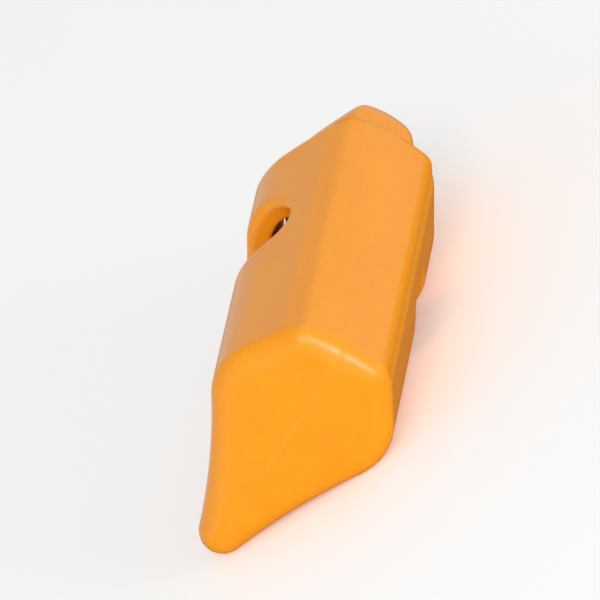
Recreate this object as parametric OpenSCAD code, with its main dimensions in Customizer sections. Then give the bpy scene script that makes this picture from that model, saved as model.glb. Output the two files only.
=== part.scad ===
// Spring-loaded cord lock: a shield-shaped barrel, a push-in plunger and a coil spring.
// It lies on one flank. +X points from the closed end to the button, +Z is up.
// Each part is drawn upright first, in section coordinates: x from the flat crown to
// the nose, y across the mirror plane, z from the closed end to the button.

/* [Barrel] */
// Length from the closed end to the open rim
barrel_length = 19.5; // [19:0.5:24]
// Depth of the section from the flat crown to the nose
section_depth = 13.3; // [12.9:0.1:14.5]
// Width of the flat crown between its sharp corners
crown_width = 4.6; // [3.8:0.1:4.6]
// Largest width, across the two shoulders
section_width = 8.7; // [8.4:0.1:9.4]
// Distance of the shoulder centres from the crown
shoulder_depth = 4.35; // [4.2:0.05:4.7]
// Radius of the shoulders
shoulder_radius = 3.05; // [2.8:0.05:3.2]
// Radius of the nose
nose_radius = 1.1; // [1:0.05:1.3]
// Radius of the shallow hollow in each flank
flank_radius = 34; // [25:1:60]
// Radius of the two long edges beside the crown
crown_radius = 0.8; // [0.5:0.1:1]
// Radius around the closed end
end_radius = 1.1; // [0.6:0.1:1.2]
// Radius around the open rim
rim_radius = 0.45; // [0.3:0.05:0.6]
// How far the open rim falls away at its sides, 1 mm from the middle
rim_arch = 0.09; // [0:0.01:0.1]
// Thickness of the side walls
wall = 1.2; // [1.1:0.05:1.3]
// Thickness of the closed end
end_wall = 1.6; // [1.4:0.1:1.8]

/* [Cord passage] */
// Width of the passage, from crown to nose
passage_width = 6; // [5.4:0.1:6.4]
// Height of the passage, along the barrel
passage_height = 4; // [3.6:0.1:4.2]
// Distance of its centre from the crown
passage_depth = 5.2; // [5:0.1:5.6]
// Distance of its centre from the closed end
passage_station = 11.9; // [11.7:0.1:12.3]

/* [Plunger] */
// How far the button's top stands out of the barrel at rest
button_height = 4.5; // [4.2:0.1:5.5]
// Travel of the button
travel = 3.8; // [3.2:0.1:3.9]
// Height of the button's domed top
dome_height = 1.7; // [1.2:0.1:2]
// How far the button's top falls away at its sides, 1 mm from the middle
dome_arch = 0.2; // [0:0.05:0.25]
// Gap between the plunger and the barrel's inner wall
clearance = 0.15; // [0.1:0.01:0.2]
// Wall between the spring's bore and the passage
web = 1.3; // [1:0.1:1.5]
// How far the snap lug stands out of the plunger's nose
lug_height = 0.5; // [0.4:0.05:0.6]
// Width of the snap lug
lug_width = 1; // [0.8:0.1:1.1]
// Length of the snap lug
lug_length = 2; // [1.6:0.1:2.2]

/* [Spring] */
// Outer diameter of the spring
spring_diameter = 4; // [3.6:0.1:4.1]
// Diameter of the wire
wire = 0.5; // [0.4:0.05:0.55]
// Open turns between the two closed ends
open_turns = 6; // [4:1:7]
// Diameter of the bore that holds the spring
spring_bore = 4.4; // [4.3:0.05:4.5]
// Height of the post inside the spring
post_height = 2; // [1:0.1:2.4]

/* [Hidden] */
$fn = 64;
arc_steps = 7;              // segments in each arc of the section
fillet_steps = 4;           // rings in each edge radius
dome_steps = 7;             // rings in the button's dome
last_slope = 88;            // angle of the dome's last ring
smallest_radius = 0.5;      // tightest corner left when the section is inset
grid = 0.002;               // section points are rounded to this
lean = 0.011;               // degrees about Y that keep ring planes and frame planes apart
play = 0.02;                // gap where two parts stop against each other
bite = 1;                   // overlap that makes cuts and joins clean
orange = [0.98, 0.58, 0.06];
steel = [0.76, 0.77, 0.79];

// Centres of the arcs that make the section
shoulder = [shoulder_depth, section_width / 2 - shoulder_radius];
nose = [section_depth - nose_radius, 0];
// The flank's arc touches the shoulder and the nose from outside
shoulder_reach = flank_radius + shoulder_radius;
nose_reach = flank_radius + nose_radius;
span = norm(nose - shoulder);
along = (pow(shoulder_reach, 2) - pow(nose_reach, 2) + pow(span, 2)) / (2 * span);
aside = sqrt(pow(shoulder_reach, 2) - pow(along, 2));
to_nose = (nose - shoulder) / span;
flank = shoulder + along * to_nose + aside * [-to_nose[1], to_nose[0]];
// Slope of the straight face beside the crown, which touches the shoulder's arc
crown_corner = [0, crown_width / 2];
to_shoulder = shoulder - crown_corner;
facet_slope = atan2(to_shoulder[1], to_shoulder[0]) + asin(shoulder_radius / norm(to_shoulder));
// Slope of the plane that the lock lies on, across the shoulder and the nose
rest_slope = asin((shoulder_radius - nose_radius) / span) - atan2(to_nose[1], to_nose[0]);
rest_drop = shoulder[0] * sin(rest_slope) + shoulder[1] * cos(rest_slope) + shoulder_radius;

// Stations along the barrel at rest
plunger_end = end_wall + travel + 0.4;
plunger_hole = passage_station + travel;
bore_end = plunger_hole - passage_height / 2 - web;
overall_length = barrel_length + button_height;
lug_start = plunger_end + 0.5;
cavity_inset = wall;
plunger_inset = wall + clearance;
spring_axis = shoulder_depth - 0.05;

function polar(centre, radius, angle) = centre + radius * [cos(angle), sin(angle)];
function heading(from, to) = atan2(to[1] - from[1], to[0] - from[0]);
function arc(centre, radius, from, to) =
    [for (i = [0:arc_steps]) polar(centre, radius, from + (to - from) * i / arc_steps)];

// Centre of the nose's arc when the section is inset: it still touches both flanks
function nose_arc(inset) = max(nose_radius - inset, smallest_radius);
function nose_centre(inset) =
    [flank[0] - sqrt(pow(flank_radius + inset + nose_arc(inset), 2) - pow(flank[1], 2)), 0];
function nose_tip(inset) = nose_centre(inset)[0] + nose_arc(inset);

// Upper half of the section, from the nose round to the crown, inset all round
function half_section(inset) =
    let (
        tip = nose_centre(inset),
        tip_end = heading(tip, flank),
        flank_start = heading(flank, tip),
        flank_end = heading(flank, shoulder),
        corner = max(crown_radius - inset, smallest_radius),
        reach = inset + corner,
        corner_y = crown_corner[1] - reach * (1 - sin(facet_slope)) / cos(facet_slope)
    )
    concat(
        arc(tip, nose_arc(inset), 0, tip_end),
        arc(flank, flank_radius + inset, flank_start, flank_end),
        arc(shoulder, shoulder_radius - inset, flank_end + 180, 90 + facet_slope),
        arc([reach, corner_y], corner, 90 + facet_slope, 180)
    );

// Drops a point that repeats the one before it
function distinct(points) =
    [for (i = [0:len(points) - 1]) if (i == 0 || norm(points[i] - points[i - 1]) > 0.001) points[i]];
function section(inset) =
    let (upper = distinct(half_section(inset)), last = len(upper) - 1)
    [for (p = concat(upper, [for (i = [last:-1:1]) [upper[i][0], -upper[i][1]]])) [rounded(p[0]), rounded(p[1])]];
function rounded(length) = round(length / grid) * grid;
function ring(inset, station) = [for (p = section(inset)) [p[0], p[1], rounded(station)]];

// A closed skin over a stack of rings that all have the same number of points
module skin(rings) {
    n = len(rings[0]);
    sides = [for (i = [0:len(rings) - 2]) for (j = [0:n - 1])
        [i * n + j, (i + 1) * n + j, (i + 1) * n + (j + 1) % n, i * n + (j + 1) % n]];
    top = (len(rings) - 1) * n;
    caps = [[for (j = [0:n - 1]) j], [for (j = [n - 1:-1:0]) top + j]];
    polyhedron([for (r = rings) for (p = r) p], concat(sides, caps));
}

// Rings of a rounded edge: the inset shrinks as the station rises, or the other way up
function lower_edge(inset, radius, station) = [for (i = [0:fillet_steps])
    let (a = 90 * i / fillet_steps) ring(inset + radius * (1 - sin(a)), station + radius * (1 - cos(a)))];
function upper_edge(inset, radius, station) = [for (i = [0:fillet_steps])
    let (a = 90 * i / fillet_steps) ring(inset + radius * (1 - cos(a)), station - radius * (1 - sin(a)))];

// Rings of the button's dome, which draw in towards the spring's axis. The top is an arch
// across the section: it falls with the square of the distance from the mirror plane.
function dome(inset, station) = [for (i = [0:dome_steps])
    let (
        a = last_slope * i / dome_steps,
        k = pow(cos(a), 0.45),
        height = station + dome_height * sin(a),
        arch = dome_arch * (cos(a) - cos(last_slope))
    )
    [for (p = section(inset))
        [spring_axis + k * (p[0] - spring_axis), k * p[1], rounded(height - arch * pow(p[1], 2))]]];

// Lays an upright part on its flank, with the whole lock centred over the origin
module laid_down() {
    y_high = nose[0] * cos(rest_slope) + nose_radius;
    corner_y = crown_corner[1] - crown_radius * (1 - sin(facet_slope)) / cos(facet_slope);
    y_low = crown_radius * cos(rest_slope) - corner_y * sin(rest_slope) - crown_radius;
    translate([-overall_length / 2, -(y_high + y_low) / 2, rest_drop])
        rotate([-rest_slope, lean, 0])
            rotate([90, 0, 90])
                children();
}

// The oblong hole that the cords run through
module passage(station) {
    radius = passage_height / 2;
    offset_x = (passage_width - passage_height) / 2;
    translate([passage_depth, 0, station])
        rotate([90, 0, 0])
            linear_extrude(height = section_width + 2 * bite, center = true)
                polygon(concat(
                    arc([offset_x, 0], radius, -90, 90),
                    arc([-offset_x, 0], radius, 90, 270)));
}

// Lowers a ring at its sides, so that the rim is an arch like the button's top
function arched(ring) = [for (p = ring) [p[0], p[1], rounded(p[2] - rim_arch * pow(p[1], 2))]];

// Outer casing, closed at one end, with the passage through its sides. Its skin runs over
// the rim, down the bore and across the floor; a post on the floor keeps the spring in place
module barrel() {
    color(orange) laid_down() {
        difference() {
            union() {
                skin(concat(
                    lower_edge(0, end_radius, 0),
                    [for (r = upper_edge(0, rim_radius, barrel_length)) arched(r)],
                    [arched(ring(cavity_inset, barrel_length)), ring(cavity_inset, end_wall)]));
                translate([spring_axis, 0, end_wall - bite])
                    cylinder(h = post_height + bite, r = spring_diameter / 2 - wire - 0.15);
            }
            passage(passage_station);
            lug_groove();
        }
    }
}

// Groove inside the nose that the plunger's snap lug slides in; its outer end is the stop
module lug_groove() {
    low = lug_start - travel - 0.2;
    high = lug_start + lug_length + play;
    width = lug_width + 2 * clearance;
    translate([nose_tip(cavity_inset) - bite, -width / 2, low])
        cube([bite + lug_height, width, high - low]);
}

// Sliding button: the domed end is pressed, the inner end holds the spring
module plunger() {
    color(orange) laid_down() {
        difference() {
            union() {
                skin(concat(
                    lower_edge(plunger_inset, 0.3, plunger_end),
                    dome(plunger_inset, overall_length - dome_height)));
                snap_lug();
            }
            translate([spring_axis, 0, plunger_end - bite])
                cylinder(h = bore_end - plunger_end + bite, d = spring_bore);
            passage(plunger_hole);
        }
    }
}

// Wedge on the plunger's nose that snaps into the barrel's groove
module snap_lug() {
    root = nose_tip(plunger_inset) - bite;
    face = nose_tip(plunger_inset) + lug_height - clearance;
    translate([0, lug_width / 2, 0])
        rotate([90, 0, 0])
            linear_extrude(height = lug_width)
                polygon([
                    [root, lug_start], [nose_tip(plunger_inset), lug_start],
                    [face, lug_start + lug_length / 2], [face, lug_start + lug_length],
                    [root, lug_start + lug_length]]);
}

// Compression spring between the barrel's floor and the bore's end, with closed end turns
module spring() {
    gap = 0.05;                                   // at each end of the spring
    mean = (spring_diameter - wire) / 2;
    closed = 1.25;                                // turns laid close at each end
    close_pitch = wire * 1.08;
    turns = open_turns + 2 * closed;
    bottom = end_wall + gap + wire / 2;
    top = bore_end - gap - wire / 2;
    open_pitch = (top - bottom - 2 * closed * close_pitch) / open_turns;
    function rise(t) =
        t < closed ? t * close_pitch :
        t > turns - closed ? top - bottom - (turns - t) * close_pitch :
        closed * close_pitch + (t - closed) * open_pitch;
    steps = ceil(turns * 24);
    sides = 8;
    rings = [for (i = [0:steps])
        let (t = turns * i / steps, a = 360 * t)
        [for (j = [0:sides - 1])
            let (b = 360 * j / sides, r = mean + wire / 2 * cos(b))
            [spring_axis + r * cos(a), r * sin(a), bottom + rise(t) + wire / 2 * sin(b)]]];
    color(steel) laid_down() skin([for (i = [steps:-1:0]) rings[i]]);
}

barrel();
plunger();
spring();
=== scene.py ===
import bpy
import bmesh
import math
import numpy as np
from mathutils import Matrix, Vector


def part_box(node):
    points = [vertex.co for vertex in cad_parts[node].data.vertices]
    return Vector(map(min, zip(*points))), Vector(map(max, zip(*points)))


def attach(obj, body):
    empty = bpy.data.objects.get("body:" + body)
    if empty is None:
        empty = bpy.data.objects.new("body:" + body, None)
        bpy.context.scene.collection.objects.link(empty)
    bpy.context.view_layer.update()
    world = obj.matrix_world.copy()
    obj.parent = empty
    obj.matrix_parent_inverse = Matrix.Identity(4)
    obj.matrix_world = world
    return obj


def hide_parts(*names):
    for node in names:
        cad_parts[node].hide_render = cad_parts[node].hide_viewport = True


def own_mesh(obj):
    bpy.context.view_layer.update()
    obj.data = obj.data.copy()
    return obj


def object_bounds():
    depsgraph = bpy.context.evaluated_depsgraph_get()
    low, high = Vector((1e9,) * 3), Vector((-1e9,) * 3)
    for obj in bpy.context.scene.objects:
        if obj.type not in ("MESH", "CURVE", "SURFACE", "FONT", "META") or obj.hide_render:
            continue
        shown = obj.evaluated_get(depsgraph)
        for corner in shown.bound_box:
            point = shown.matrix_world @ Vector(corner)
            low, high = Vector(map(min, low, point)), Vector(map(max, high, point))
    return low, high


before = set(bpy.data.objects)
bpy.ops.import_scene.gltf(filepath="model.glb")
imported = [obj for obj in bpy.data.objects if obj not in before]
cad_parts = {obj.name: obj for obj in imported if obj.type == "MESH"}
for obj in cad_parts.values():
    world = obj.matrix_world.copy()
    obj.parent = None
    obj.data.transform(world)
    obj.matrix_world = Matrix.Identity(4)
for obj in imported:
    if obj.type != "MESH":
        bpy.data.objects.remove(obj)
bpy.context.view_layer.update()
mm = 0.001

# The shield-shaped section, in millimetres: p runs from the flat crown to the nose, q across the mirror plane
shield = {
    "depth": 13.3,           # crown to nose
    "width": 8.7,            # across the shoulders
    "crownWidth": 4.6,       # between the crown's sharp corners
    "shoulderDepth": 4.35,   # shoulder centres, from the crown
    "shoulderRadius": 3.05,
    "noseRadius": 1.1,
    "flankRadius": 34.0,     # shallow hollow in each flank
    "crownRadius": 0.8,
    "tightest": 0.5,         # smallest corner left when the section is inset
}

# Samples round half the section: nose, flank, shoulder, facet, crown's edge, crown. The powers
# crowd those of the nose and the crown towards the mirror plane
sectionSteps = (12, 44, 22, 22, 8, 14)
noseCrowding, crownCrowding = 1.5, 1.6


# a circle's points: centre + radius (cos angle, sin angle)
def circle(centre, radius, angle):
    return centre + radius[..., None] * np.stack([np.cos(angle), np.sin(angle)], -1)


# An outline of arcs that touch each other. Inset t shrinks every outward arc to r - t and opens
# the flank's arc to r + t about the same centres, so the new outline lies t inside the first.
class Section:
    def __init__(self, form, steps):
        self.form, self.steps = form, steps
        self.shoulder = np.array([form["shoulderDepth"], form["width"] / 2 - form["shoulderRadius"]])
        nose = np.array([form["depth"] - form["noseRadius"], 0.0])
        # the flank's centre is a from the shoulder's centre and b from the nose's
        a = form["flankRadius"] + form["shoulderRadius"]
        b = form["flankRadius"] + form["noseRadius"]
        span = np.linalg.norm(nose - self.shoulder)
        ahead = (nose - self.shoulder) / span
        along = (a * a - b * b + span * span) / (2 * span)
        aside = math.sqrt(a * a - along * along)
        self.flank = self.shoulder + along * ahead + aside * np.array([-ahead[1], ahead[0]])
        self.corner = np.array([0.0, form["crownWidth"] / 2])
        # the facet runs from the crown's corner and touches the shoulder
        reach = self.shoulder - self.corner
        opening = math.asin(form["shoulderRadius"] / np.linalg.norm(reach))
        self.slope = math.atan2(reach[1], reach[0]) + opening
        lean = math.asin((form["shoulderRadius"] - form["noseRadius"]) / span)
        self.restSlope = lean - math.atan2(ahead[1], ahead[0])

    # points (row, sample, 2) of the upper half, one inset per row, from the nose's middle to the crown's
    def half(self, inset):
        form = self.form
        t = np.asarray(inset, float)[:, None]
        nCrown = self.steps[-1]
        shoulderR, flankR = form["shoulderRadius"] - t, form["flankRadius"] + t
        noseR = np.maximum(form["noseRadius"] - t, form["tightest"])
        edgeR = np.maximum(form["crownRadius"] - t, form["tightest"])
        tip = self.flank[0] - np.sqrt((flankR + noseR) ** 2 - self.flank[1] ** 2)
        reach = t + edgeR
        edgeQ = self.corner[1] - reach * (1 - math.sin(self.slope)) / math.cos(self.slope)
        edge = np.stack([reach, edgeQ], -1)
        # the angles where one arc hands over to the next
        noseEnd = np.arctan2(self.flank[1], self.flank[0] - tip)
        flankEnd = math.atan2(*(self.shoulder - self.flank)[::-1])
        shoulderStart = flankEnd + math.pi
        square = math.pi / 2 + self.slope
        span = [np.linspace(0, 1, n, endpoint=False)[None, :] + 0 * t for n in self.steps]
        noseArc = circle(np.stack([tip, 0 * tip], -1), noseR, span[0] ** noseCrowding * noseEnd)
        flankStart = noseEnd - math.pi
        flankArc = circle(self.flank, flankR, flankStart + span[1] * (flankEnd - flankStart))
        shoulderArc = circle(self.shoulder, shoulderR, shoulderStart + span[2] * (square - shoulderStart))
        facetStart = circle(self.shoulder, shoulderR, square + 0 * t)
        facetEnd = circle(edge, edgeR, square + 0 * t)
        facet = facetStart + span[3][..., None] * (facetEnd - facetStart)
        edgeArc = circle(edge, edgeR, square + span[4] * (math.pi - square))
        near = np.linspace(1, 0, nCrown) ** crownCrowding + 0 * t
        crown = np.stack([t + 0 * near, edgeQ * near], -1)
        return np.concatenate([noseArc, flankArc, shoulderArc, facet, edgeArc, crown], 1)

    # the whole outline: the upper half, then its mirror image without the two end points
    def rings(self, inset):
        upper = self.half(inset)
        return np.concatenate([upper, upper[:, -2:0:-1] * np.array([1, -1])], 1)

    # q of the upper half over p, for a given inset
    def height(self, p, inset):
        upper = self.half([inset])[0]
        order = np.argsort(upper[:, 0], kind="stable")
        return np.interp(p, upper[order, 0], upper[order, 1])


section = Section(shield, sectionSteps)
columns = 2 * (sum(sectionSteps) - 1)


# Section coordinates (p, q, s) in millimetres to the lock's frame in metres: x = s,
# y = p cos a + q sin a, z = q cos a - p sin a, moved until the lock rests on its flank
def lieDown(points):
    a = section.restSlope
    lo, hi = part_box("barrel")
    outline = section.rings([0.0])[0]
    across = outline @ np.array([math.cos(a), math.sin(a)])
    upward = outline @ np.array([-math.sin(a), math.cos(a)])
    y = points[..., :2] @ np.array([math.cos(a), math.sin(a)]) - (across.min() + across.max()) / 2
    z = points[..., :2] @ np.array([-math.sin(a), math.cos(a)]) - upward.min()
    return np.stack([lo[0] + points[..., 2] * mm, (lo[1] + hi[1]) / 2 + y * mm, lo[2] + z * mm], -1)


# Draws a ring of the outline in towards the mirror plane: (1 - c) outline + c spine, where the
# spine is a straight line with q = 0 between two distances from the crown
def drawIn(ring, c, spine):
    p = ring[..., 0]
    lo, hi = p.min(-1, keepdims=True), p.max(-1, keepdims=True)
    onSpine = spine[0] + (p - lo) / (hi - lo) * (spine[1] - spine[0])
    c = np.asarray(c)[:, None]
    return np.stack([(1 - c) * p + c * onSpine, (1 - c) * ring[..., 1]], -1)


# One stretch of a profile: a row of the given values for each entry of the longest of them
def profileRows(*values):
    return np.stack(np.broadcast_arrays(*values), -1).astype(float)


# Vertices and faces gathered from whole arrays: grids that close round the section, and bands
# that join one loop of vertices to the next
class Shell:
    def __init__(self):
        self.points, self.faces, self.count = [], [], 0

    def add(self, points):
        flat = points.reshape(-1, 3)
        first = self.count
        self.points.append(flat)
        self.count += len(flat)
        return first + np.arange(len(flat)).reshape(points.shape[:-1])

    # quads between neighbouring rows of ids, whose last column meets the first; keep picks some
    def quads(self, ids, keep=None):
        following = np.roll(ids, -1, 1)
        quad = np.stack([ids[:-1], following[:-1], following[1:], ids[1:]], -1)
        self.faces.append(quad[keep] if keep is not None else quad.reshape(-1, 4))

    # triangles from a loop to one point
    def disc(self, loop, centre):
        middle = self.add(centre[None, :])
        tri = np.stack([loop, np.roll(loop, -1), 0 * loop + middle[0]], -1)
        self.faces.append(tri)

    # the mesh, with points nearer than weldAt metres joined and every face turned outwards
    def finish(self, name, weldAt=2e-7):
        mesh = bpy.data.meshes.new(name)
        rows = [tuple(f) for block in self.faces for f in block.tolist()]
        mesh.from_pydata(lieDown(np.concatenate(self.points)).tolist(), [], rows)
        work = bmesh.new()
        work.from_mesh(mesh)
        bmesh.ops.remove_doubles(work, verts=work.verts, dist=weldAt)
        bmesh.ops.dissolve_degenerate(work, edges=work.edges, dist=weldAt)
        bmesh.ops.recalc_face_normals(work, faces=work.faces)
        work.to_mesh(mesh)
        work.free()
        mesh.polygons.foreach_set("use_smooth", np.ones(len(mesh.polygons), bool))
        piece = bpy.data.objects.new(name, mesh)
        bpy.context.scene.collection.objects.link(piece)
        return piece


# The ids round a window of a grid, in order, and the quads that the window takes away
def window(ids, rows, cols, keep):
    (r0, r1), (c0, c1) = rows, cols
    keep[r0:r1, c0:c1] = False
    return np.concatenate([ids[r0, c0:c1], ids[r0:r1, c1], ids[r1, c1:c0:-1], ids[r1:r0:-1, c0]])


elsewhere = -99.0            # station that no passage is near

passageForm = {
    "width": 6.0,            # crown to nose
    "height": 4.0,           # along the barrel
    "depth": 5.2,            # centre, from the crown
    "station": 11.9,         # centre, from the closed end
    "margin": 1.2,           # skin round the mouth that is drawn with it
}


# Where a point lies round an oblong: the nearest point of the oblong's middle line, and the
# distance and angle from there
def roundOblong(points, station):
    half = (passageForm["width"] - passageForm["height"]) / 2
    core = np.clip(points[:, 0] - passageForm["depth"], -half, half)
    dp, ds = points[:, 0] - passageForm["depth"] - core, points[:, 2] - station
    return core, np.hypot(dp, ds), np.unwrap(np.arctan2(ds, dp))


# Layers (layer, loop, 3) from a window's edge to the passage's mouth and over its rounded lip:
# on the skin q = height(p); over the lip a quarter circle, depth = lip (1 - cos a) at
# distance radius + lip (1 - sin a)
def mouthLayers(edge, station, lip, inset, side, sign, skinSteps=6, lipSteps=7):
    core, reach, angle = roundOblong(edge, station)
    radius = passageForm["height"] / 2
    u = np.linspace(0, 1, skinSteps + 1)[1:, None]
    a = np.linspace(0, math.pi / 2, lipSteps + 1)[1:, None]
    onSkin = reach + u * (radius + lip - reach)
    overLip = radius + lip * (1 - np.sin(a)) + 0 * reach
    distance = np.concatenate([onSkin, overLip])
    sunk = np.concatenate([0 * onSkin, lip * (1 - np.cos(a)) + 0 * reach])
    p = passageForm["depth"] + core + distance * np.cos(angle)
    q = side * (section.height(p, inset) - sign * sunk)
    return np.stack([p, q, station + distance * np.sin(angle)], -1)


# Straight layers between two loops that lie on the same tunnel wall
def tunnelLayers(first, last, steps):
    u = np.linspace(0, 1, steps + 2)[1:-1, None, None]
    return first + u * (last - first)


# The rows and the columns, first and last, of the window round a passage at a station
def windowRange(ring, stations, station, side):
    reachP = passageForm["width"] / 2 + passageForm["margin"]
    reachS = passageForm["height"] / 2 + passageForm["margin"]
    onSide = ring[:, 1] * side > 0
    near = onSide & (np.abs(ring[:, 0] - passageForm["depth"]) < reachP)
    cols = np.nonzero(near)[0]
    rows = np.nonzero(np.abs(stations - station) < reachS)[0]
    return (rows[0], rows[-1]), (cols[0], cols[-1])


barrelForm = {
    "length": 19.5,
    "wall": 1.2,
    "endWall": 1.6,
    "endRadius": 1.1,        # round the closed end
    "rimRadius": 0.45,       # round the open rim, outside
    "bevel": 0.25,           # round the open rim, inside
    "rimArch": 0.09,         # how far the rim falls at 1 mm from the mirror plane
    "arch": (15.4, 18.95),   # stations between which the skin takes up that fall
    "mouthLip": 0.5,         # rounding of the passage's mouths, outside
    "innerLip": 0.2,
    "spine": (2.6, 10.4),    # line that the end face is drawn in to
    "faceRows": (0, .008, .018, .03, .048, .075, .12, .19, .28, .4, .54, .68, .82, .93),
    "floorRows": (.02, .3, .6, .85, 1.0),
    "rowGap": 0.3,           # between the rows along the side
    "besideEnd": (0.06, 0.2, 0.5),    # closer rows past the closed end's rounding
    "besideRim": (0.15, 0.05),        # and short of the rim's
    "draft": 0.014,          # fall of each mould half away from the parting line
    "swell": (14.0, 55.0),   # slight roundness of the crown and of the closed end, as radii
    "swellTo": (0.2, 0.95),  # the crown's fades out between these distances from it
    "endSeam": 0.017,        # height of the parting line on the closed end
    "sideSeam": 0.005,       # and along the sides
    "seamWidth": 0.07,
    "seamRows": 3,           # rows of the rim's rounding that still carry it
    "groove": (2.3, 8.32),   # stretch of the snap lug's groove
    "grooveDepth": 0.5,
    "grooveWidth": 1.32,
    "grooveBeyond": 9.31,    # it lies further from the crown than this
    "postRadius": 1.35,      # post inside the spring
    "postHeight": 2.0,
    "postEdge": (0.06, 0.2),    # its bevel, in two steps
    "postFlat": 0.6,         # ring that keeps its top flat
    "postSides": 48,
}


# The barrel is one profile carried round the section: end face, end radius, side, rim, bore and
# floor. Each row holds its inset, its station, its share drawn in to the mirror plane, and how
# far its skin faces along the barrel
def makeBarrel():
    form = barrelForm
    endR, rimR, bevel, length = form["endRadius"], form["rimRadius"], form["bevel"], form["length"]
    wall, endWall, gap = form["wall"], form["endWall"], form["rowGap"]
    faceShare = 1 - np.array(form["faceRows"])
    endTurn = np.linspace(0, math.pi / 2, 9)
    rimTurn = np.linspace(0, math.pi / 2, 7)
    *besideEnd, sideFrom = endR + np.array(form["besideEnd"])
    besideRim = length - rimR - np.array(form["besideRim"])
    side = np.arange(sideFrom, length - rimR - gap, gap)
    side = np.concatenate([besideEnd, side, besideRim])
    bore = side[(side > endWall + gap / 2) & (side < length - bevel - gap / 3)][::-1]
    rows = np.concatenate([
        profileRows(endR, 0, faceShare, 1),
        profileRows(endR * (1 - np.sin(endTurn)), endR * (1 - np.cos(endTurn)), 0, np.cos(endTurn)),
        profileRows(0, side, 0, 0),
        profileRows(rimR * (1 - np.cos(rimTurn)), length - rimR * (1 - np.sin(rimTurn)), 0, 0),
        profileRows(wall - bevel * (1 - np.sin(rimTurn)), length - bevel * (1 - np.cos(rimTurn)), 0, 0),
        profileRows(wall, bore, 0, 0),
        profileRows(wall, [endWall], 0, 0),
        profileRows(wall, endWall, form["floorRows"], 0)])
    inset, station, drawn, facing = rows.T
    flat = drawIn(section.rings(inset), drawn, form["spine"])
    p, q = flat[..., 0], flat[..., 1]
    s = station[:, None] + 0 * p
    outsideRows = len(faceShare) + len(endTurn) + len(side) + form["seamRows"]
    outside = (np.arange(len(rows)) < outsideRows)[:, None]
    facing = facing[:, None]
    # each mould half falls away from the parting line: draft |q| + q^2 / (2 swell)
    crownFall, endFall = [form["draft"] * np.abs(q) + q ** 2 / (2 * radius) for radius in form["swell"]]
    swellFrom, swellTo = form["swellTo"]
    crownShare = np.clip((swellTo - p) / (swellTo - swellFrom), 0, 1)
    p = p + outside * (1 - facing) * crownFall * crownShare ** 2 * (3 - 2 * crownShare)
    s = s + outside * facing * endFall
    # the rim is an arch across the section: it falls by rimArch q^2
    archFrom, archTo = form["arch"]
    archShare = np.clip((s - archFrom) / (archTo - archFrom), 0, 1)
    s = s - form["rimArch"] * q ** 2 * archShare
    # parting line: a fine ridge, height exp(-(q / width)^2), square to the skin
    ridge = outside * np.exp(-(q / form["seamWidth"]) ** 2)
    outwards = np.where(p > shield["depth"] / 2, 1.0, -1.0)
    p = p + form["sideSeam"] * ridge * outwards * np.sqrt(1 - facing ** 2)
    s = s - form["endSeam"] * ridge * facing
    # groove for the snap lug, inside the nose
    inGroove = ~outside & (s > form["groove"][0]) & (s < form["groove"][1])
    inGroove = inGroove & (np.abs(q) < form["grooveWidth"] / 2) & (p > form["grooveBeyond"])
    p = p + form["grooveDepth"] * inGroove
    points = np.stack([p, q, s], -1)
    shell = Shell()
    ids = shell.add(points)
    keep = np.ones((len(rows) - 1, columns), bool)
    # a row that isn't on the skin, or isn't on the bore, counts as far away from the passage
    passageAt = passageForm["station"]
    skinRows = outside[:, 0] & (facing[:, 0] == 0)
    boreRows = ~outside[:, 0] & (inset == wall) & (drawn == 0)
    outerRows, innerRows = np.where(skinRows, station, elsewhere), np.where(boreRows, station, elsewhere)
    outline = section.rings([0.0])[0]
    flatPoints = points.reshape(-1, 3)
    for half in (1, -1):
        rowRange, colRange = windowRange(outline, outerRows, passageAt, half)
        outerLoop = window(ids, rowRange, colRange, keep)
        # the bore's rows run the other way, so its window is taken from the rows turned round
        match = [int(np.argmin(np.abs(innerRows - station[r]))) for r in rowRange]
        turned = [len(ids) - 1 - m for m in match]
        innerLoop = window(ids[::-1], turned, colRange, keep[::-1])
        outerMouth = mouthLayers(flatPoints[outerLoop], passageAt, form["mouthLip"], 0.0, half, 1)
        innerMouth = mouthLayers(flatPoints[innerLoop], passageAt, form["innerLip"], wall, half, -1,
                                 skinSteps=5, lipSteps=3)[::-1]
        tunnel = tunnelLayers(outerMouth[-1], innerMouth[0], 3)
        layers = shell.add(np.concatenate([outerMouth, tunnel, innerMouth]))
        shell.quads(np.concatenate([outerLoop[None], layers, innerLoop[None]]))
    shell.quads(ids, keep=keep)
    # post on the floor that keeps the spring in place
    around = np.linspace(0, 2 * math.pi, form["postSides"], endpoint=False)
    postR, top = form["postRadius"], endWall + form["postHeight"]
    fine, edge = form["postEdge"]
    base = endWall - edge
    profile = np.array([[postR, base], [postR, endWall + .5 * edge], [postR, top - edge],
                        [postR - fine, top - fine], [postR - edge, top], [form["postFlat"], top]])
    r, height = profile[:, :1], profile[:, 1:]
    post = np.stack([springForm["axis"] + r * np.cos(around), r * np.sin(around), height + 0 * around], -1)
    postIds = shell.add(post)
    shell.quads(postIds)
    shell.disc(postIds[0], np.array([springForm["axis"], 0, base]))
    shell.disc(postIds[-1], np.array([springForm["axis"], 0, top]))
    return shell.finish("barrelShell")


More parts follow.
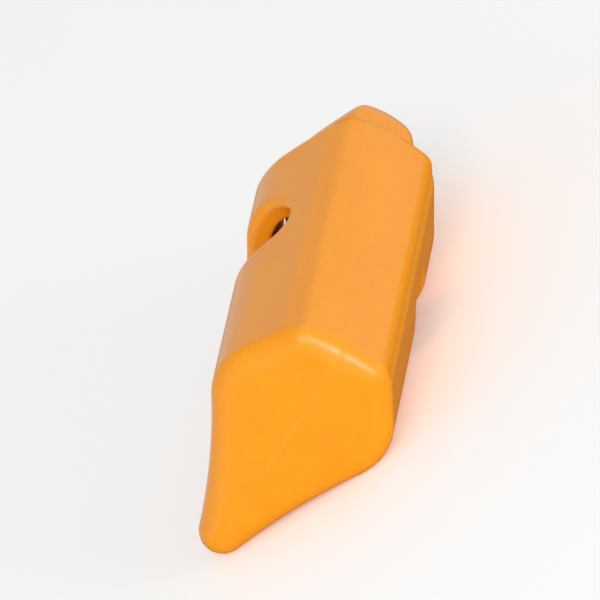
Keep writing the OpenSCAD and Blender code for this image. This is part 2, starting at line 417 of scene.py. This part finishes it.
plungerForm = {
    "clearance": 0.15,       # to the barrel's bore
    "innerEnd": 5.8,         # from the closed end, at rest
    "travel": 3.8,
    "buttonHeight": 4.5,     # how far the button stands out at rest
    "domeHeight": 1.7,
    "domeFullness": 0.8,     # power that shapes its sides
    "domeArch": 0.2,         # how far the top falls at 1 mm from the mirror plane
    "domeFall": 0.012,       # and at 1 mm from the ridge's middle, towards crown and nose
    "archFrom": 19.7,        # the fall grows from this station to the dome's edge
    "spine": (2.7, 8.6),     # ridge of the dome
    "chamfer": 0.3,          # round the inner end
    "springBore": 4.4,
    "boreEnd": 12.4,
    "boreRows": 8,
    "mouthLip": 0.35,
    "lug": (6.3, 8.3),       # stretch of the snap lug
    "lugHeight": 0.35,
    "lugWidth": 1.0,
    "lugBevel": 0.06,
    "lugRoot": 0.8,          # how deep it is set into the nose
}


# The plunger is one profile carried round the section too: dome, side, inner end, spring bore.
# The dome's height over its edge is its full height times sin a, where the outline is drawn in by
# 1 - cos(a)^fullness
def makePlunger():
    form = plungerForm
    inset0 = barrelForm["wall"] + form["clearance"]
    top = barrelForm["length"] + form["buttonHeight"]
    edge = top - form["domeHeight"]
    domeTurn = np.linspace(math.pi / 2, 0, 22)
    gap, chamfer = barrelForm["rowGap"], form["chamfer"]
    side = np.arange(edge - gap, form["innerEnd"] + chamfer + gap / 2, -gap)
    endTurn = np.linspace(0, math.pi / 2, 5)
    drawnIn = 1 - np.cos(domeTurn) ** form["domeFullness"]
    rows = np.concatenate([
        profileRows(inset0, edge + form["domeHeight"] * np.sin(domeTurn), drawnIn),
        profileRows(inset0, side, 0),
        profileRows(inset0 + chamfer * (1 - np.cos(endTurn)),
                    form["innerEnd"] + chamfer * (1 - np.sin(endTurn)), 0)])
    inset, station, drawn = rows.T
    flat = drawIn(section.rings(inset), drawn, form["spine"])
    # the dome is arched across the section, falls a little towards crown and nose, and the arch
    # fades out below the rim
    lengthways = flat[..., 0] - sum(form["spine"]) / 2
    arch = form["domeArch"] * flat[..., 1] ** 2 + form["domeFall"] * lengthways ** 2
    fade = np.clip((station - form["archFrom"]) / (edge - form["archFrom"]), 0, 1)[:, None]
    body = np.concatenate([flat, (station[:, None] - arch * fade)[..., None]], -1)
    centre = np.array([springForm["axis"], 0.0])
    last = body[-1, :, :2] - centre
    heading = last / np.linalg.norm(last, axis=1, keepdims=True)
    boreR = form["springBore"] / 2
    # inner end, from its edge to the bore in thirds, then down the bore and over its end
    outwards = np.array([.66, .33, 0])[:, None, None]
    innerFace = centre + boreR * heading + outwards * (last - boreR * heading)
    innerFace = np.concatenate([innerFace, 0 * innerFace[..., :1] + form["innerEnd"]], -1)
    boreShare = [.6, .25]
    wallDepth = np.linspace(form["innerEnd"] + chamfer / 3, form["boreEnd"], form["boreRows"])
    depth = np.concatenate([wallDepth, [form["boreEnd"]] * len(boreShare)])
    share = np.concatenate([np.ones(form["boreRows"]), boreShare])[:, None, None]
    boreWall = centre + boreR * share * heading
    boreWall = np.concatenate([boreWall, 0 * boreWall[..., :1] + depth[:, None, None]], -1)
    points = np.concatenate([body, innerFace, boreWall])
    shell = Shell()
    ids = shell.add(points)
    keep = np.ones((len(points) - 1, columns), bool)
    sideRows = np.where(drawn > 0, elsewhere, station)
    sideRows = np.concatenate([sideRows, np.full(len(points) - len(body), elsewhere)])
    passageAt = passageForm["station"] + form["travel"]
    outline = section.rings([inset0])[0]
    flatPoints = points.reshape(-1, 3)
    mouths = []
    for half in (1, -1):
        rowRange, colRange = windowRange(outline, sideRows, passageAt, half)
        loop = window(ids, rowRange, colRange, keep)
        mouth = mouthLayers(flatPoints[loop], passageAt, form["mouthLip"], inset0, half, 1,
                            skinSteps=5, lipSteps=6)
        mouths.append((loop, mouth))
    (loopA, mouthA), (loopB, mouthB) = mouths
    # the mirrored side runs the other way round, so it is turned and shifted until it faces the first
    turn = np.arange(len(loopB))[::-1]
    flatA, flatB = mouthA[-1][:, [0, 2]], mouthB[-1][:, [0, 2]]
    mismatch = [np.abs(flatB[np.roll(turn, k)] - flatA).sum() for k in range(len(loopB))]
    order = np.roll(turn, int(np.argmin(mismatch)))
    tunnel = tunnelLayers(mouthA[-1], mouthB[-1][order], 10)
    layers = shell.add(np.concatenate([mouthA, tunnel, mouthB[::-1][:, order]]))
    shell.quads(np.concatenate([loopA[None], layers, loopB[order][None]]))
    shell.quads(ids, keep=keep)
    shell.disc(ids[-1], np.array([springForm["axis"], 0, form["boreEnd"]]))
    # snap lug on the nose
    nose = outline[:, 0].max()
    w, (s0, s1), h = form["lugWidth"] / 2, form["lug"], form["lugHeight"]
    root, cut = nose - form["lugRoot"], form["lugBevel"]
    wedge = np.array([[root, s0], [nose, s0], [nose + h, (s0 + s1) / 2],
                      [nose + h, s1 - cut], [nose + h - cut, s1], [root, s1]])
    across = np.array([-w, -w + cut, w - cut, w])[:, None]
    lug = np.stack([wedge[:, 0] + 0 * across, 0 * wedge[:, 0] + across, wedge[:, 1] + 0 * across], -1)
    lugIds = shell.add(lug)
    shell.quads(lugIds)
    shell.disc(lugIds[0], lug[0].mean(0))
    shell.disc(lugIds[-1], lug[-1].mean(0))
    return shell.finish("plungerBody")


springForm = {
    "diameter": 4.0,
    "wire": 0.5,
    "openTurns": 6.0,
    "closedTurns": 1.25,
    "axis": 4.3,             # distance of the spring's axis from the crown
    "low": 1.65,             # ends, from the closed end
    "high": 12.35,
    "closedPitch": 0.52,     # rise of a closed turn
    "ground": 0.075,         # ground off each end
    "ease": 9.0,             # how quickly a closed turn opens
    "stepsPerTurn": 40,
    "sides": 20,
}


# Centre line: r (cos 2 pi t, sin 2 pi t) about the axis, rising slowly over the closed turns and
# quickly between them; a round wire is carried along it and its two ends are ground flat.
# Pace = closed pitch + (open pitch - closed pitch) / (1 + e^-x) / (1 + e^-y), where x and y are
# the turns past each closed stretch times the ease
def makeSpring():
    form = springForm
    wireR, mean = form["wire"] / 2, (form["diameter"] - form["wire"]) / 2
    turns = form["openTurns"] + 2 * form["closedTurns"]
    t = np.linspace(0, turns, int(turns * form["stepsPerTurn"]) + 1)
    closed, closedPitch, ground = form["closedTurns"], form["closedPitch"], form["ground"]
    height = form["high"] - form["low"]
    openPitch = (height - 2 * ground - 2 * closed * closedPitch) / form["openTurns"]
    ease = form["ease"]
    opening = 1 / (1 + np.exp(-(t - closed) * ease)) / (1 + np.exp(-(turns - closed - t) * ease))
    pace = closedPitch + (openPitch - closedPitch) * opening
    rise = np.concatenate([[0], np.cumsum((pace[1:] + pace[:-1]) / 2 * np.diff(t))])
    rise = form["low"] + ground + rise / rise[-1] * (height - 2 * ground)
    b = np.linspace(0, 2 * math.pi, form["sides"], endpoint=False)
    turn = 2 * math.pi * t[:, None]
    r = mean + wireR * np.cos(b)[None, :]
    s = np.clip(rise[:, None] + wireR * np.sin(b)[None, :], form["low"], form["high"])
    points = np.stack([form["axis"] + r * np.cos(turn), r * np.sin(turn), s], -1)
    shell = Shell()
    ids = shell.add(points)
    shell.quads(ids)
    shell.disc(ids[0], points[0].mean(0))
    shell.disc(ids[-1], points[-1].mean(0))
    piece = shell.finish("springCoil", weldAt=1e-9)
    # where each point lies on the wire: millimetres along it, and the direction round it
    along = mean * turn + 0 * b
    wire = np.stack([along, np.cos(b) + 0 * along, np.sin(b) + 0 * along], -1).reshape(-1, 3)
    wire = np.concatenate([wire, [[0, 0, 0], [along.max(), 0, 0]]])
    mark = piece.data.attributes.new("wire", "FLOAT_VECTOR", "POINT")
    mark.data.foreach_set("vector", wire.ravel())
    return piece


# How much handling rubs each point, which is also how much the rounded edges are painted lighter
# as a painted highlight: the mean bend of the skin towards its neighbours, (difference of normals . edge) /
# edge^2, counted from one bend to another, in 1/mm. The parting line is finer than any worn edge and stays as
# it is
def markWearAndSheen(piece, bends=(.32, 1.1), finest=2.0, shortest=1e-3):
    mesh = piece.data
    count = len(mesh.vertices)
    ends = np.empty(2 * len(mesh.edges), int)
    place, normal = np.empty(3 * count), np.empty(3 * count)
    mesh.edges.foreach_get("vertices", ends)
    mesh.vertices.foreach_get("co", place)
    mesh.vertices.foreach_get("normal", normal)
    a, b = ends.reshape(-1, 2).T
    edge = (place.reshape(-1, 3)[b] - place.reshape(-1, 3)[a]) / mm
    turned = normal.reshape(-1, 3)[b] - normal.reshape(-1, 3)[a]
    bend = (turned * edge).sum(1) / np.maximum((edge ** 2).sum(1), shortest)
    total = np.bincount(a, bend, count) + np.bincount(b, bend, count)
    mean = total / np.maximum(np.bincount(a, minlength=count) + np.bincount(b, minlength=count), 1)
    wornAndSheen = np.clip((mean - bends[0]) / (bends[1] - bends[0]), 0, 1) * (mean < finest)
    mesh.attributes.new("wearAndSheen", "FLOAT", "POINT").data.foreach_set("value", wornAndSheen)


barrel = makeBarrel()
print("barrel", len(barrel.data.polygons))
plunger = makePlunger()
print("plunger", len(plunger.data.polygons))
spring = makeSpring()
print("spring", len(spring.data.polygons))
markWearAndSheen(barrel)
markWearAndSheen(plunger)

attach(barrel, "barrel")
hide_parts("barrel")
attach(plunger, "plunger")
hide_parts("plunger")
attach(spring, "barrel")
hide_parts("spring")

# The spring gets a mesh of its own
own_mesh(spring)
print("pieces ride their bodies")


# A shader socket that takes part in Python arithmetic: an expression on values adds its Math nodes
class Wire:
    def __init__(self, finish, socket):
        self.finish, self.socket = finish, socket

    def maths(self, operation, first, second):
        return self.finish.node("ShaderNodeMath", {"operation": operation}, {0: first, 1: second})

    def __add__(self, other):
        return self.maths("ADD", self, other)

    def __sub__(self, other):
        return self.maths("SUBTRACT", self, other)

    def __rsub__(self, other):
        return self.maths("SUBTRACT", other, self)

    def __mul__(self, other):
        return self.maths("MULTIPLY", self, other)

    __radd__ = __add__
    __rmul__ = __mul__

    # 0 below low, 1 above high, a smooth step between
    def rise(self, low, high):
        inputs = {"Value": self, "From Min": low, "From Max": high}
        return self.finish.node("ShaderNodeMapRange", {"interpolation_type": "SMOOTHSTEP"}, inputs)


# A node tree; every node comes from one method
class Finish:
    def __init__(self, tree):
        self.tree = tree

    def node(self, kind, settings=None, inputs=None, output=0):
        made = self.tree.nodes.new(kind)
        for key, value in (settings or {}).items():
            setattr(made, key, value)
        for key, value in (inputs or {}).items():
            self.plug(made.inputs[key], value)
        return Wire(self, made.outputs[output])

    def plug(self, socket, value):
        if isinstance(value, Wire):
            self.tree.links.new(value.socket, socket)
        else:
            socket.default_value = value

    # object coordinates in millimetres, turned and stretched
    def place(self, stretch=(1, 1, 1), turn=(0, 0, 0)):
        here = self.node("ShaderNodeTexCoord", output="Object")
        return self.stretched(here, [k / mm for k in stretch], turn)

    def stretched(self, where, stretch, turn=(0, 0, 0)):
        return self.node("ShaderNodeMapping", {}, {"Vector": where, "Rotation": turn, "Scale": stretch})

    def attribute(self, name, output):
        return self.node("ShaderNodeAttribute", {"attribute_name": name}, output=output)

    def noise(self, where, scale, detail=3.0, roughness=.5):
        inputs = {"Vector": where, "Scale": scale, "Detail": detail, "Roughness": roughness}
        return self.node("ShaderNodeTexNoise", {}, inputs)

    # first where share is 0, second where it is 1
    def mixColour(self, share, first, second):
        colour = {0: share, 6: first, 7: second}
        return self.node("ShaderNodeMix", {"data_type": "RGBA"}, colour, 2)

    def bump(self, height, distance):
        return self.node("ShaderNodeBump", {}, {"Height": height, "Distance": distance})


# A material of one Principled shader, its sockets given by name
def newMaterial(name):
    material = bpy.data.materials.new(name)
    material.use_nodes = True
    return material, Finish(material.node_tree)


def shade(finish, **sockets):
    shader = finish.tree.nodes["Principled BSDF"]
    for key, value in sockets.items():
        finish.plug(shader.inputs[key.replace("_", " ")], value)


plastic = {
    "colour": (.925, .330, .0030, 1),
    "dense": (.908, .312, .0024, 1),    # where the melt set a little denser
    "wornAndSheen": (.945, .372, .016, 1),      # on rubbed edges: partly wear, partly a painted highlight on the rounded edges
    "gloss": .21,                       # roughness of the clean skin
    "flow": (.10, .55, .55),            # streaks to the millimetre, along and across
    "cloud": (.35, .35, .35),
    "scratches": ((.3, .16), (1.25, .20), (2.3, .13)),    # direction and stretch of each set
    "hairlines": 7.0,                   # to the millimetre, across each set
    "rougher": {"grain": .05, "cloud": .04, "scratch": .10, "rubbedAndSheen": .10},
    "relief": {"peel": .5, "grain": .04, "scratch": .16, "pricks": .4},
    "reliefDepth": .010,                # in millimetres
    "scatter": {"IOR": 1.49, "Subsurface_Weight": .06, "Subsurface_Scale": .0008,
                "Subsurface_Radius": (1.0, .42, .12)},
}


# Glossy moulded plastic: slow flow streaks along the barrel, a faint orange peel, hairline
# scratches three ways, and pinpricks. Rubbed edges are painted lighter: partly wear, partly a painted
# highlight on the rounded edges. Roughness = gloss + grain + cloud + scratches + wear, and
# the height = peel + grain - scratches - pinpricks, each by its own weight
def makePlastic(name, seed):
    material, finish = newMaterial(name)
    rougher, relief, fine = plastic["rougher"], plastic["relief"], plastic["hairlines"]
    flow = finish.noise(finish.place(plastic["flow"], (0, 0, seed)), 1.0, 4, .55)
    cloud = finish.noise(finish.place(plastic["cloud"], (seed, 0, 0)), 1.0, 3)
    here = finish.place()
    peel = finish.noise(here, 1.3, 2, .4)
    grain = finish.noise(here, 16.0, 3, .6)
    scratch = 0
    for turn, stretch in plastic["scratches"]:
        where = finish.place((stretch, fine, fine), (turn * .7, turn, turn * 1.9 + seed))
        scratch = finish.noise(where, 1.0, 1, .3).rise(.72, .80) + scratch
    pricks = finish.noise(here, 5.2, 1, .2).rise(.76, .80)
    wearAndSheen = finish.attribute("wearAndSheen", "Fac")
    rubbedAndSheen = wearAndSheen * finish.noise(here, 2.2, 3, .6).rise(.36, .62)
    melt = (flow * .7 + cloud * .3).rise(.38, .66)
    base = finish.mixColour(melt, plastic["colour"], plastic["dense"])
    # lighter where rubbed or scratched: wear, and on the rounded edges also a painted highlight
    base = finish.mixColour(rubbedAndSheen * .55 + scratch * .12, base, plastic["wornAndSheen"])
    rough = plastic["gloss"] + grain * rougher["grain"] + cloud * rougher["cloud"]
    rough = rough + scratch * rougher["scratch"] + rubbedAndSheen * rougher["rubbedAndSheen"]
    height = peel * relief["peel"] + grain * relief["grain"]
    height = height - scratch * relief["scratch"] - pricks * relief["pricks"]
    shade(finish, Base_Color=base, Roughness=rough)
    shade(finish, Normal=finish.bump(height, plastic["reliefDepth"] * mm), **plastic["scatter"])
    return material


steel = {
    "bright": (.62, .62, .63, 1),
    "dull": (.38, .37, .36, 1),
    "roughness": .22,
    "lines": (.25, 6, 6),    # marks to the millimetre, along the wire and across it
    "tarnish": (.4, .8, .8),
    "nicks": (3, 3, 3),
    "reliefDepth": .006,     # in millimetres
}


# Drawn spring wire: die lines along it, slow tarnish, small nicks. Roughness = base + lines +
# tarnish, and the height = lines - nicks
def makeWire(name):
    material, finish = newMaterial(name)
    wire = finish.attribute("wire", "Vector")
    lines = finish.noise(finish.stretched(wire, steel["lines"]), 1.0, 3, .6)
    tarnish = finish.noise(finish.stretched(wire, steel["tarnish"]), 1.0, 4, .6)
    nicks = finish.noise(finish.stretched(wire, steel["nicks"]), 1.0, 2).rise(.66, .72)
    base = finish.mixColour(tarnish.rise(.4, .75), steel["bright"], steel["dull"])
    rough = steel["roughness"] + lines * .16 + tarnish * .10
    shade(finish, Base_Color=base, Roughness=rough, Metallic=1.0)
    shade(finish, Normal=finish.bump(lines * .7 - nicks, steel["reliefDepth"] * mm))
    return material


# Pale matt board for the lock to lie on: slow tint between two near whites, and a fine tooth
# that sets both its roughness and its height
def makeBoard(name, glow):
    material, finish = newMaterial(name)
    tooth = finish.noise(finish.place(), 3.0, 4, .6)
    tint = finish.noise(finish.place((.02, .02, .02)), 1.0, 2)
    base = finish.mixColour(tint, *board["colours"])
    shade(finish, Base_Color=base, Roughness=.7 + tooth * .1, Normal=finish.bump(tooth, .01 * mm))
    shade(finish, Emission_Color=(1, 1, 1, 1), Emission_Strength=glow)
    return material


barrel.data.materials.append(makePlastic("barrelPlastic", .4))
plunger.data.materials.append(makePlastic("plungerPlastic", 1.7))
spring.data.materials.append(makeWire("springWire"))
print("materials made")

shot = {
    "up": (.5319, -.4736, .7020),       # towards the top of the view
    "back": (-.8385, -.4106, .3583),    # from the lock to the camera
    "distance": .60,
    "tall": .0278,           # height of the view at the lock
    "clip": (.01, 20),
}

lo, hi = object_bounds()
middle = (lo + hi) / 2
back = Vector(shot["back"]).normalized()
right = Vector(shot["up"]).cross(back).normalized()
up = back.cross(right)
camera = bpy.data.objects.new("camera", bpy.data.cameras.new("camera"))
bpy.context.scene.collection.objects.link(camera)
turn = Matrix((right, up, back)).transposed().to_4x4()
camera.matrix_world = Matrix.Translation(middle + back * shot["distance"]) @ turn
camera.data.lens = camera.data.sensor_width * shot["distance"] / shot["tall"]
camera.data.clip_start, camera.data.clip_end = shot["clip"]
bpy.context.scene.camera = camera

board = {
    "half": 1.5,
    "glow": .22,             # the board is lit a little from within
    "horizon": .76,          # brightness of the room
    "zenith": .48,
    "below": .06,            # what the gloss sees below the horizon
    "dusk": (-.30, -.08),    # heights between which the dark below turns bright
    "sky": (.25, .95),       # and between which the bright horizon fades overhead
    "colours": ((.90, .90, .895, 1), (.93, .93, .925, 1)),
}
k = board["half"]
floorMesh = bpy.data.meshes.new("floor")
floorMesh.from_pydata([(-k, -k, 0), (k, -k, 0), (k, k, 0), (-k, k, 0)], [], [(0, 1, 2, 3)])
floorMesh.materials.append(makeBoard("board", board["glow"]))
floor = bpy.data.objects.new("floor", floorMesh)
bpy.context.scene.collection.objects.link(floor)
floor.visible_glossy = False


# An oval lamp that shines on the lock from a direction; its height lies along the section's width
def softLight(name, towards, distance, width, height, power):
    data = bpy.data.lights.new(name, "AREA")
    data.shape, data.size, data.size_y, data.energy = "ELLIPSE", width, height, power
    lamp = bpy.data.objects.new(name, data)
    bpy.context.scene.collection.objects.link(lamp)
    direction = Vector(towards).normalized()
    acrossSection = Vector((0, math.sin(section.restSlope), math.cos(section.restSlope)))
    sideways = acrossSection.cross(direction).normalized()
    turn = Matrix((sideways, direction.cross(sideways), direction)).transposed().to_4x4()
    lamp.matrix_world = Matrix.Translation(middle + direction * distance) @ turn


# The room is bright at the horizon, softer overhead and dark below: its grey = below +
# dusk (horizon - below) - sky (horizon - zenith), each a smooth step of the height
def makeRoom():
    world = bpy.data.worlds.new("room")
    world.use_nodes = True
    sky = Finish(world.node_tree)
    view = sky.node("ShaderNodeTexCoord", output="Generated")
    parts = sky.node("ShaderNodeSeparateXYZ", {}, {0: view}, 2)
    horizon, zenith, below = board["horizon"], board["zenith"], board["below"]
    overhead = parts.rise(*board["sky"]) * (horizon - zenith)
    grey = below + parts.rise(*board["dusk"]) * (horizon - below) - overhead
    sky.plug(world.node_tree.nodes["Background"].inputs["Color"], grey)
    bpy.context.scene.world = world


lamps = {
    "key": {"towards": (-.80, -.30, .50), "distance": .5, "width": .25, "height": .25, "power": .79},
    "glint": {"towards": (-.520, -.834, .185), "distance": .5, "width": .24, "height": .08, "power": .54},
}
for name, lamp in lamps.items():
    softLight(name, **lamp)
makeRoom()
bpy.context.scene.view_settings.view_transform = "Standard"
print("camera, lights and board made")
